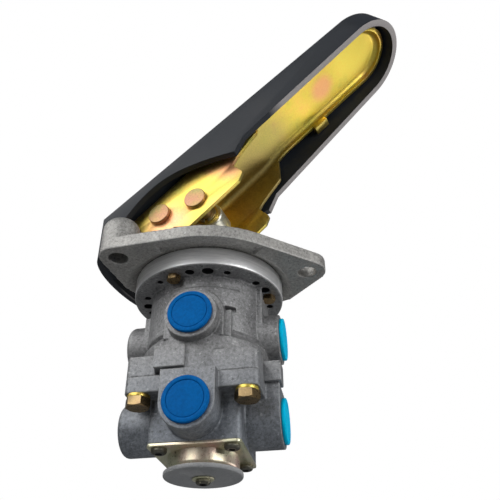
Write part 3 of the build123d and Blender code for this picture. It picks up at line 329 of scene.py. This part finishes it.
def make_floor(material):
    """Plain floor far below the object, pale to the camera."""
    tree = material.node_tree
    surface = tree.nodes["Principled BSDF"]
    surface.inputs["Emission Color"].default_value = (1, 1, 1, 1)
    seen = tree.nodes.new("ShaderNodeLightPath").outputs["Is Camera Ray"]
    glow = tree.nodes.new("ShaderNodeMath")
    glow.operation = "MULTIPLY"
    glow.inputs[1].default_value = FLOOR_GLOW
    tree.links.new(seen, glow.inputs[0])
    tree.links.new(glow.outputs[0], surface.inputs["Emission Strength"])
    mesh = bpy.data.meshes.new("floor")
    signs = ((-1, -1), (1, -1), (1, 1), (-1, 1))
    mesh.from_pydata([(x * FLOOR_HALF, y * FLOOR_HALF, FLOOR_Z) for x, y in signs], [], [(0, 1, 2, 3)])
    floor = new_object("floor", mesh)
    floor.data.materials.append(material)
    floor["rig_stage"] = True


# Materials

class Paint:
    """A material while its nodes are being joined."""

    def __init__(self, name, **sockets):
        self.material = bpy.data.materials.new(name)
        self.material.use_nodes = True
        self.tree = self.material.node_tree
        self.surface = self.tree.nodes["Principled BSDF"]
        for socket, value in sockets.items():
            self.surface.inputs[socket.replace("_", " ")].default_value = value
        self.place = self.node("ShaderNodeTexCoord").outputs["Object"]
        self.form = self.node("ShaderNodeNewGeometry")

    def node(self, kind, inputs=(), **settings):
        made = self.tree.nodes.new(kind)
        for key, value in settings.items():
            setattr(made, key, value)
        for key, value in dict(inputs).items():
            if isinstance(value, bpy.types.NodeSocket):
                self.tree.links.new(value, made.inputs[key])
            else:
                made.inputs[key].default_value = value
        return made

    def noise(self, scale, detail=4.0, rough=0.5, stretch=(1, 1, 1), shift=0.0):
        """Noise with features about one metre divided by scale in size."""
        moved = self.node("ShaderNodeMapping", {
            "Vector": self.place, "Scale": stretch, "Location": (shift,) * 3})
        made = self.node("ShaderNodeTexNoise", {
            "Vector": moved.outputs[0], "Scale": scale, "Detail": detail, "Roughness": rough})
        return made.outputs["Fac"]

    def ramp(self, value, *stops):
        """Colours or greys at places along a value."""
        made = self.node("ShaderNodeValToRGB", {"Fac": value})
        elements = made.color_ramp.elements
        while len(elements) < len(stops):
            elements.new(0.5)
        for element, (place, colour) in zip(elements, stops):
            element.position = place
            element.color = (*(colour if isinstance(colour, tuple) else (colour,) * 3), 1)
        return made.outputs["Color"]

    def between(self, value, low, high):
        """From 0 to 1 as a value goes from low to high."""
        made = self.node("ShaderNodeMapRange", {"Value": value, "From Min": low, "From Max": high})
        return made.outputs[0]

    def along(self, direction, low, high):
        """From 0 to 1 between two places along a direction, in metres."""
        dot = self.node("ShaderNodeVectorMath", {0: self.place, 1: direction}, operation="DOT_PRODUCT")
        return self.between(dot.outputs["Value"], low, high)

    def around(self, centre, inner, outer):
        """From 1 within an inner radius to 0 at an outer radius."""
        made = self.node("ShaderNodeVectorMath", {0: self.place, 1: centre}, operation="DISTANCE")
        fall = self.node("ShaderNodeMapRange", {
            "Value": made.outputs["Value"], "From Min": inner, "From Max": outer,
            "To Min": 1, "To Max": 0}, interpolation_type="SMOOTHSTEP")
        return fall.outputs[0]

    def off_axis(self, low, high):
        """From 0 to 1 with the distance from the valve's axis."""
        level = self.node("ShaderNodeVectorMath", {0: self.place, 1: (1, 1, 0)}, operation="MULTIPLY")
        reach = self.node("ShaderNodeVectorMath", {0: level.outputs[0]}, operation="LENGTH")
        return self.between(reach.outputs["Value"], low, high)

    def facing(self, direction, low, high):
        """From 0 to 1 as the surface turns towards a direction of its own piece."""
        normal = self.node("ShaderNodeTexCoord").outputs["Normal"]
        dot = self.node("ShaderNodeVectorMath", {0: normal, 1: direction}, operation="DOT_PRODUCT")
        return self.between(dot.outputs["Value"], low, high)

    def math(self, operation, one, two):
        return self.node("ShaderNodeMath", {0: one, 1: two}, operation=operation).outputs[0]

    def mix(self, share, under, over, blend="MIX"):
        made = self.node("ShaderNodeMix", {"Factor": share}, data_type="RGBA", blend_type=blend)
        for key, value in (("A", under), ("B", over)):
            if isinstance(value, tuple):
                made.inputs[key].default_value = (*value, 1)
            else:
                self.tree.links.new(value, made.inputs[key])
        return made.outputs["Result"]

    def layer(self, colour, over, share, strength):
        """A second colour over the first, by a share times a strength."""
        return self.mix(self.math("MULTIPLY", share, strength), colour, over)

    def edges(self):
        """Near 1 on outward edges."""
        return self.between(self.form.outputs["Pointiness"], *OUTWARD)

    def corners(self):
        """Near 1 in inward corners."""
        return self.between(self.form.outputs["Pointiness"], *INWARD)

    def bump(self, height, distance):
        made = self.node("ShaderNodeBump", {"Height": height, "Distance": distance})
        if self.surface.inputs["Normal"].links:
            self.tree.links.new(self.surface.inputs["Normal"].links[0].from_socket, made.inputs["Normal"])
        self.drive("Normal", made.outputs[0])

    def drive(self, socket, output):
        self.tree.links.new(output, self.surface.inputs[socket])


def cast_metal(name, dark, light, rough, machined=0.0):
    """Blasted die casting with pits, light specks, dirt and painted shade in corners, and painted shade
    towards the bottom.

    The machined share makes the ring's outer band turned metal and paints dirt and shade into the ring's
    holes.
    """
    paint = Paint(name, Metallic=0.6)
    broad = paint.noise(scale=45, detail=5, rough=0.6)
    colour = paint.ramp(broad, (0.3, dark), (0.7, light))
    grain = paint.noise(scale=560, detail=6, rough=0.75, shift=0.3)
    contrast = paint.ramp(grain, (0.34, 0.24), (0.5, 0.5), (0.66, 0.74))
    colour = paint.mix(0.85, colour, contrast, "OVERLAY")
    pits = paint.noise(scale=420, detail=2, rough=0.4, shift=0.7)
    colour = paint.mix(paint.ramp(pits, (0.69, 0.0), (0.74, 0.6)), colour, CAST_PITS)
    specks = paint.noise(scale=430, detail=2, rough=0.5, shift=1.3)
    colour = paint.mix(paint.ramp(specks, (0.66, 0.0), (0.72, 0.6)), colour, CAST_SPECKS)
    # Painted shade, darker and bluer low down
    lower = paint.along((0, 0, -1), LOWER_SHADE_FROM, LOWER_SHADE_TO)
    colour = paint.mix(lower, colour, LOWER_PAINTED_SHADE, "MULTIPLY")
    outer = paint.off_axis(RING_BAND_R - RING_BAND_FADE, RING_BAND_R)
    above = paint.along((0, 0, 1), RING_LOW + RING_FADE[0], RING_LOW + RING_FADE[1])
    in_ring = paint.math("MULTIPLY", above, machined)
    turned = paint.math("MULTIPLY", in_ring, outer)
    streaks = paint.noise(scale=60, detail=4, rough=0.6, stretch=(1, 1, 30), shift=0.5)
    colour = paint.mix(turned, colour, paint.ramp(streaks, (0.35, 0.82), (0.6, 1.0)))
    # Dirt and painted shade inside the ring's holes
    colour = paint.mix(paint.math("SUBTRACT", in_ring, turned), colour, RING_HOLE_DIRT_AND_SHADE)
    colour = paint.layer(colour, CAST_WORN, paint.edges(), 0.35)
    # Dirt and painted shade in inward corners
    colour = paint.layer(colour, CAST_DIRT_AND_SHADE, paint.corners(), 0.7)
    paint.drive("Base Color", colour)
    dull = paint.ramp(grain, (0.3, rough - 0.08), (0.7, rough + 0.1))
    paint.drive("Roughness", paint.mix(turned, dull, TURNED_ROUGH))
    paint.bump(grain, 0.22 * MM)
    paint.bump(paint.noise(scale=2600, detail=2, rough=0.5), 0.04 * MM)
    return paint.material


def zinc(name, stops, rough=0.3, blotch=38, metallic=0.88, patches=(), worn=0.45):
    """Passivated zinc: colours that drift, patches of colour at places (tints, painted highlight and painted
    shade), small dark specks, dirt and painted shade in corners, and a satin shine.
    """
    paint = Paint(name, Metallic=metallic)
    drift = paint.noise(scale=blotch, detail=3, rough=0.55)
    colour = paint.ramp(drift, *stops)
    for centre, inner, outer, patch_colour, strength in patches:
        near = paint.around(centre, inner * MM, outer * MM)
        colour = paint.layer(colour, patch_colour, near, strength)
    speck = paint.noise(scale=750, detail=4, rough=0.7, shift=0.4)
    contrast = paint.ramp(speck, (0.3, 0.3), (0.52, 0.55), (0.7, 0.75))
    colour = paint.mix(0.5, colour, contrast, "OVERLAY")
    colour = paint.layer(colour, ZINC_WORN, paint.edges(), worn)
    # Dirt and painted shade in inward corners
    colour = paint.layer(colour, ZINC_DIRT_AND_SHADE, paint.corners(), 0.5)
    paint.drive("Base Color", colour)
    paint.drive("Roughness", paint.ramp(speck, (0.3, rough - 0.06), (0.7, rough + 0.12)))
    paint.bump(speck, 0.03 * MM)
    return paint.material


def moulded(name, dark, light, rough, grain_size=1500, grain_depth=0.03, pale=False, worn=0.0, **sockets):
    """Moulded plastic or rubber with a fine grain, paler on worn edges, and with a painted reflection on the
    cover's rim.
    """
    paint = Paint(name, **sockets)
    broad = paint.noise(scale=30, detail=4, rough=0.6)
    colour = paint.ramp(broad, (0.3, dark), (0.7, light))
    # pale paints a reflection of light from below on the faces that turn down, kept off the arch, where shade
    # falls
    if pale:
        down = paint.facing(-WEB_NORMAL, 0.8, 0.97)
        far_side = paint.along((0, 1, 0), -5 * MM, 5 * MM)
        past_arch = paint.along((1, 0, 0), 60 * MM, 70 * MM)
        clear_of_arch = paint.math("MAXIMUM", far_side, past_arch)
        rim = paint.math("MULTIPLY", down, clear_of_arch)
        colour = paint.layer(colour, RIM_PAINTED_REFLECTION, rim, RIM_REFLECTION_SHARE)
    if worn:
        colour = paint.layer(colour, RUBBER_WORN, paint.edges(), worn)
    grain = paint.noise(scale=grain_size, detail=2, rough=0.6, shift=0.2)
    colour = paint.mix(0.35, colour, paint.ramp(grain, (0.35, 0.35), (0.65, 0.65)), "OVERLAY")
    paint.drive("Base Color", colour)
    paint.drive("Roughness", paint.ramp(broad, (0.3, rough - 0.05), (0.7, rough + 0.07)))
    paint.bump(grain, grain_depth * MM)
    return paint.material


def on_web(along, across):
    """Place on the underside of the arm's web."""
    return WEB_START + WEB_ALONG * along * MM + WEB_NORMAL * WEB_UNDERSIDE + Vector((0, across * MM, 0))


def arm_patches():
    """Centre, inner and outer radius, colour and strength of each patch on the arm: tints of the zinc, with a
    painted highlight and painted shade on the web.
    """
    return (
        (on_web(184, -2), 4, 16, (0.7, 0.25, 0.06), 0.8),
        # Painted highlight high on the web
        (on_web(150, -6), 10, 34, (0.98, 0.78, 0.13), 0.85),
        (on_web(113, 1), 5, 15, (0.85, 0.36, 0.2), 0.75),
        # Painted shade low on the web
        (on_web(45, 6), 14, 40, (0.33, 0.3, 0.1), 0.75),
        # Painted shade on the far flange
        (Vector((28, 26, 105)) * MM, 20, 45, (0.36, 0.27, 0.1), 0.85),
        (Vector((4, -29, 72)) * MM, 4, 14, (0.85, 0.6, 0.1), 0.5),
        (Vector((27, -29, 84)) * MM, 3, 17, (0.9, 0.4, 0.22), 0.8),
        (Vector((-22, -29, 46)) * MM, 6, 24, (0.88, 0.42, 0.24), 0.8),
    )


def make_finishes():
    """One material for each slot of the record, a few for single nodes, and the floor's."""
    return {
        "plate_casting": cast_metal(
            "plate_casting", dark=(0.3, 0.294, 0.28), light=(0.41, 0.4, 0.38), rough=0.5),
        "body_casting": cast_metal(
            "body_casting", dark=(0.22, 0.22, 0.223), light=(0.33, 0.33, 0.333), rough=0.52, machined=0.95),
        "cover_plastic": moulded(
            "cover_plastic", dark=(0.01, 0.013, 0.018), light=(0.017, 0.021, 0.028), rough=0.52,
            pale=True, Specular_IOR_Level=0.38),
        "yellow_zinc": zinc(
            "yellow_zinc",
            [(0.3, (0.5, 0.44, 0.08)), (0.45, (0.74, 0.56, 0.09)), (0.58, (0.82, 0.56, 0.11)),
             (0.72, (0.8, 0.38, 0.16))],
            rough=0.38, metallic=1.0, patches=arm_patches(), worn=0.12),
        "bolt_zinc": zinc(
            "bolt_zinc", [(0.3, (0.13, 0.085, 0.04)), (0.55, (0.3, 0.2, 0.09)), (0.72, (0.2, 0.11, 0.065))],
            rough=0.28, blotch=90, metallic=1.0, worn=0.05),
        "pin_zinc": zinc(
            "pin_zinc", [(0.3, (0.32, 0.32, 0.12)), (0.5, (0.46, 0.3, 0.14)), (0.7, (0.5, 0.25, 0.17))],
            rough=0.42, blotch=70, metallic=1.0, worn=0.0),
        "pale_zinc": zinc(
            "pale_zinc", [(0.3, (0.5, 0.55, 0.36)), (0.5, (0.66, 0.63, 0.45)), (0.68, (0.75, 0.52, 0.45))]),
        "bronze": zinc("bronze", [(0.3, (0.42, 0.22, 0.08)), (0.7, (0.55, 0.32, 0.12))]),
        "steel": zinc("steel", [(0.3, (0.42, 0.42, 0.42)), (0.7, (0.58, 0.58, 0.57))]),
        "dark_steel": zinc("dark_steel", [(0.3, (0.03, 0.03, 0.032)), (0.7, (0.07, 0.07, 0.07))], rough=0.4),
        # Lit grey copy of the black rubber for the exhaust flap, whose underside catches light from below:
        # painted light
        "flap_rubber_painted_lit": moulded(
            "flap_rubber_painted_lit", dark=(0.24, 0.247, 0.255), light=(0.31, 0.317, 0.33), rough=0.6,
            grain_size=900, grain_depth=0.04, worn=0.7),
        "black_rubber": moulded(
            "black_rubber", dark=(0.03, 0.03, 0.032), light=(0.05, 0.05, 0.053), rough=0.55,
            grain_size=900, grain_depth=0.04),
        "cap_blue": moulded(
            "cap_blue", dark=(0.0, 0.105, 0.36), light=(0.0, 0.13, 0.42), rough=0.6,
            grain_size=600, grain_depth=0.02, Specular_IOR_Level=0.06),
        # Lit copy of cap_blue for the caps that face the light on the right: painted light
        "cap_painted_lit": moulded(
            "cap_painted_lit", dark=(0.0, 0.56, 0.9), light=(0.0, 0.64, 0.96), rough=0.6,
            grain_size=600, grain_depth=0.02, Specular_IOR_Level=0.06),
        "floor": moulded(
            "floor_pale", dark=(0.78, 0.78, 0.78), light=(0.82, 0.82, 0.82), rough=0.7,
            grain_size=40, grain_depth=0.01),
    }


finishes = make_finishes()
slot_of = {part["node"]: part["material_slot"] for part in frame["record"]["subparts"]}


def finish_of(node):
    return finishes[OWN_FINISH.get(node, slot_of[node])]


# Pieces

def joined_mesh(node):
    """The solid's mesh with its corners joined."""
    mesh = bmesh.new()
    mesh.from_mesh(frame["nodes"][node].data)
    bmesh.ops.remove_doubles(mesh, verts=mesh.verts, dist=JOIN_WITHIN)
    return mesh


def clean_mesh(node):
    """The solid's mesh with its corners joined and its flat faces whole."""
    mesh = joined_mesh(node)
    bmesh.ops.dissolve_limit(mesh, angle_limit=FLAT_WITHIN, verts=mesh.verts, edges=mesh.edges,
                             use_dissolve_boundaries=False)
    return mesh


def finished(name, mesh, node, modifiers=(), sharp=ROUNDED_SHARP):
    """A piece that takes the place, body and finish of a CAD node; sharp is in degrees."""
    data = bpy.data.meshes.new(name)
    mesh.to_mesh(data)
    mesh.free()
    # Normals carried over from the CAD mesh don't fit the changed faces
    if "custom_normal" in data.attributes:
        data.attributes.remove(data.attributes["custom_normal"])
    piece = new_object(name, data)
    for kind, settings in modifiers:
        modifier = piece.modifiers.new(kind.lower(), kind)
        for key, value in settings.items():
            setattr(modifier, key, value)
    if modifiers:
        bpy.context.view_layer.update()
        seen = piece.evaluated_get(bpy.context.evaluated_depsgraph_get())
        piece.data = bpy.data.meshes.new_from_object(seen)
        piece.modifiers.clear()
    piece.data.shade_smooth()
    piece.data.set_sharp_from_angle(angle=math.radians(sharp))
    piece.data.materials.clear()
    piece.data.materials.append(finish_of(node))
    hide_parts(node)
    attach(piece, frame["nodes"][node]["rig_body"])
    return piece


def bevel(width, **limit):
    """Modifier that rounds edges."""
    return ("BEVEL", {"width": width, "segments": EDGE_SEGMENTS, "use_clamp_overlap": True,
                      "miter_outer": "MITER_ARC", **limit})


def rounded(node, width):
    """Piece with its sharp edges rounded."""
    edges = bevel(width, limit_method="ANGLE", angle_limit=ROUNDED_FROM)
    finished(node + "_edged", clean_mesh(node), node, [edges])


def grooved_cover():
    """The cover with its edges rounded, apart from those of the grip grooves."""
    mesh = joined_mesh("pedal_cover")
    under = {vert: (vert.co - WEB_START).dot(WEB_NORMAL) for vert in mesh.verts}
    tread = {face for face in mesh.faces if all(abs(under[vert]) < TREAD_NEAR for vert in face.verts)}
    grooves = {vert for vert in mesh.verts if abs(under[vert] + GRIP_DEEP) < TREAD_NEAR
               and any(abs(under[edge.other_vert(vert)]) < TREAD_NEAR for edge in vert.link_edges)}
    cut = {face for vert in grooves for face in vert.link_faces}
    kept = {edge for face in tread | cut for edge in face.edges}
    rims = {edge for face in cut for edge in face.edges}
    weights = mesh.edges.layers.float.new("bevel_weight_edge")
    for edge in mesh.edges:
        turned = len(edge.link_faces) == 2 and edge.calc_face_angle() > ROUNDED_FROM
        edge[weights] = 1.0 if turned and edge not in rims else 0.0
    bmesh.ops.dissolve_limit(mesh, angle_limit=FLAT_WITHIN, verts=[], use_dissolve_boundaries=False,
                             edges=[edge for edge in mesh.edges if edge not in kept])
    edges = bevel(COVER_EDGE, limit_method="WEIGHT")
    finished("pedal_cover_edged", mesh, "pedal_cover", [edges])


def ring_stack(mesh, rings):
    """Closed skin through rings of equally many points, with a face at each end."""
    loops = [[mesh.verts.new(point) for point in ring] for ring in rings]
    count = len(rings[0])
    for one, two in zip(loops, loops[1:]):
        for i in range(count):
            j = (i + 1) % count
            mesh.faces.new((one[i], one[j], two[j], two[i]))
    mesh.faces.new(reversed(loops[0]))
    mesh.faces.new(loops[-1])
    bmesh.ops.recalc_face_normals(mesh, faces=mesh.faces)


def circle(radius, height):
    """Points of a level circle; the radius may be a function of the angle."""
    points = []
    for i in range(CIRCLE_SIDES):
        angle = math.tau * i / CIRCLE_SIDES
        reach = radius(angle) if callable(radius) else radius
        points.append((reach * math.cos(angle), reach * math.sin(angle), height))
    return points


def cap(node, turn, face, height):
    """Screw-in transit cap with a hollow stem, a rounded rim and a round groove in its face."""
    mesh = bmesh.new()
    ring_stack(mesh, [circle(radius * MM, out * MM) for radius, out in CAP_OUTLINE])
    outward = Matrix.Rotation(PORT_TURN + math.radians(turn), 4, "Z") @ Matrix.Translation((0, -face, height))
    mesh.transform(outward @ Matrix.Rotation(math.radians(90), 4, "X"))
    finished(node + "_moulded", mesh, node)


def islands(mesh):
    """Groups of joined corners, one for each solid, always in the same order."""
    left = dict.fromkeys(mesh.verts)
    while left:
        open_ends = [next(iter(left))]
        del left[open_ends[0]]
        group = []
        while open_ends:
            vert = open_ends.pop()
            group.append(vert.co.copy())
            for edge in vert.link_edges:
                other = edge.other_vert(vert)
                if other in left:
                    del left[other]
                    open_ends.append(other)
        yield group


def hex_bolts(node):
    """Bolts with hexagon heads, each face cut round by the chamfer, placed on the node's own solids."""
    mesh = bmesh.new()
    source = clean_mesh(node)
    for group in islands(source):
        centre = [(min(p[i] for p in group) + max(p[i] for p in group)) / 2 for i in (0, 1)]
        reach = {id(p): math.dist(p[:2], centre) for p in group}
        corner = max(group, key=lambda p: reach[id(p)])
        widest = reach[id(corner)]
        low = min(p.z for p in group)
        head_top = max(p.z for p in group if reach[id(p)] > HEAD_SHARE * widest)
        shank = max(reach[id(p)] for p in group if p.z > head_top + SHANK_CLEAR)
        flat = widest * math.cos(math.pi / 6)
        first = math.atan2(corner.y - centre[1], corner.x - centre[0])
        start = flat * HEX_CHAMFER_START

        def side(angle):
            return flat / math.cos((angle - first) % (math.pi / 3) - math.pi / 6)

        bolt = bmesh.new()
        sides = [first + math.tau * i / HEX_SIDES for i in range(HEX_SIDES)]

        def level(radius, height):
            points = []
            for angle in sides:
                r = radius(angle) if callable(radius) else radius
                z = height(angle) if callable(height) else height
                points.append((centre[0] + r * math.cos(angle), centre[1] + r * math.sin(angle), z))
            return points

        ring_stack(bolt, [
            level(start, low),
            level(side, lambda angle: low + (side(angle) - start) * HEX_CHAMFER_SLOPE),
            level(side, head_top),
            level(shank, head_top),
            level(shank, max(p.z for p in group)),
        ])
        whole = bpy.data.meshes.new("bolt")
        bolt.to_mesh(whole)
        bolt.free()
        mesh.from_mesh(whole)
        bpy.data.meshes.remove(whole)
    source.free()
    finished(node + "_hex", mesh, node, sharp=HEX_SHARP)


def temporary(name, mesh):
    data = bpy.data.meshes.new(name)
    mesh.to_mesh(data)
    mesh.free()
    return new_object(name, data)


def carved(mesh, cutter):
    """The first mesh without the space of the second."""
    whole = temporary("whole", mesh)
    tool = temporary("tool", cutter)
    cut = whole.modifiers.new("cut", "BOOLEAN")
    cut.operation = "DIFFERENCE"
    cut.solver = "EXACT"
    cut.object = tool
    bpy.context.view_layer.update()
    seen = whole.evaluated_get(bpy.context.evaluated_depsgraph_get())
    result = bmesh.new()
    result.from_mesh(seen.to_mesh())
    seen.to_mesh_clear()
    for thing in (whole, tool):
        data = thing.data
        bpy.data.objects.remove(thing)
        bpy.data.meshes.remove(data)
    return result


def neck_reach(angle):
    """Outline of the neck above its step: round, and flatter in front."""
    way = Vector((math.cos(angle), math.sin(angle)))
    along = way.dot(NECK_FRONT_CENTRE)
    front = along + math.sqrt(along ** 2 - NECK_FRONT_CENTRE.length_squared + NECK_FRONT_R ** 2)
    return min(NECK_R, front)


def upper_body_mesh():
    """The upper body with its smooth neck and waist, and its left pad cut back under the ring."""
    neck = bmesh.new()
    ring_stack(neck, [
        circle(NECK_R - NECK_CHAMFER, NECK_FOOT),
        circle(NECK_R, NECK_FOOT + NECK_CHAMFER),
        circle(NECK_R, NECK_STEP),
        circle(neck_reach, NECK_STEP),
        circle(neck_reach, RING_LOW),
    ])
    slot = bmesh.new()
    corners = [(SLOT_X[i], SLOT_Y[j]) for i, j in ((0, 0), (1, 0), (1, 1), (0, 1))]
    ring_stack(slot, [[(x, y, z) for x, y in corners] for z in SLOT_Z])
    neck = carved(neck, slot)
    neck.transform(Matrix.Rotation(PORT_TURN, 4, "Z"))
    pad = bmesh.new()
    first, last = LEFT_PAD_ANGLES
    angles = [math.radians(a) for a in range(first, last + 1, LEFT_PAD_STEP)]
    edge = [(NECK_R, a) for a in angles] + [(LEFT_PAD_REACH, a) for a in reversed(angles)]
    around = [(r * math.cos(a), r * math.sin(a)) for r, a in edge]
    ring_stack(pad, [[(x, y, z) for x, y in around] for z in (LEFT_PAD_LOW, RING_LOW)])
    pad.transform(Matrix.Rotation(PORT_TURN, 4, "Z"))
    body = carved(clean_mesh("upper_body"), pad)
    joined = bpy.data.meshes.new("neck")
    neck.to_mesh(joined)
    neck.free()
    body.from_mesh(joined)
    bpy.data.meshes.remove(joined)
    return body


def casting(node, mesh):
    """Casting with softened edges and corners."""
    voxel, passes = CASTING_PASSES[node]
    finished(node + "_cast", mesh, node, [
        ("REMESH", {"mode": "VOXEL", "voxel_size": voxel}),
        ("SMOOTH", {"factor": CASTING_SMOOTHING, "iterations": passes}),
        ("DECIMATE", {"ratio": CASTING_KEEP}),
    ], sharp=SOFT_SHARP)


def pressed(node, joint, fixed_height, keep):
    """Soft piece that takes the place of its node, with a mesh of its own."""
    piece = finished(node + "_soft", joined_mesh(node), node, sharp=SOFT_SHARP)
    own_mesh(piece)


make_camera()
make_world()
make_floor(finishes["floor"])
for name, light in LIGHTS.items():
    area_light(name, *light)

for node, piece in frame["nodes"].items():
    piece.data.materials.clear()
    piece.data.materials.append(finish_of(node))

casting("mounting_plate", clean_mesh("mounting_plate"))
casting("upper_body", upper_body_mesh())
casting("lower_body", clean_mesh("lower_body"))
grooved_cover()
rounded("pedal_arm", ARM_EDGE)
for node, (turn, face, height) in CAPS.items():
    cap(node, turn, face, height)
for node in ("body_bolts", "flange_bolts"):
    hex_bolts(node)
for node, width in SMALL_EDGES.items():
    rounded(node, width)
for node, (joint, fixed_height, keep) in PRESSED.items():
    pressed(node, joint, fixed_height, keep)

bpy.context.scene.view_settings.view_transform = "Standard"

boxes = {"cad": cad_box, "visual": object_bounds()}
{name: [list(corner) for corner in box] for name, box in boxes.items()}
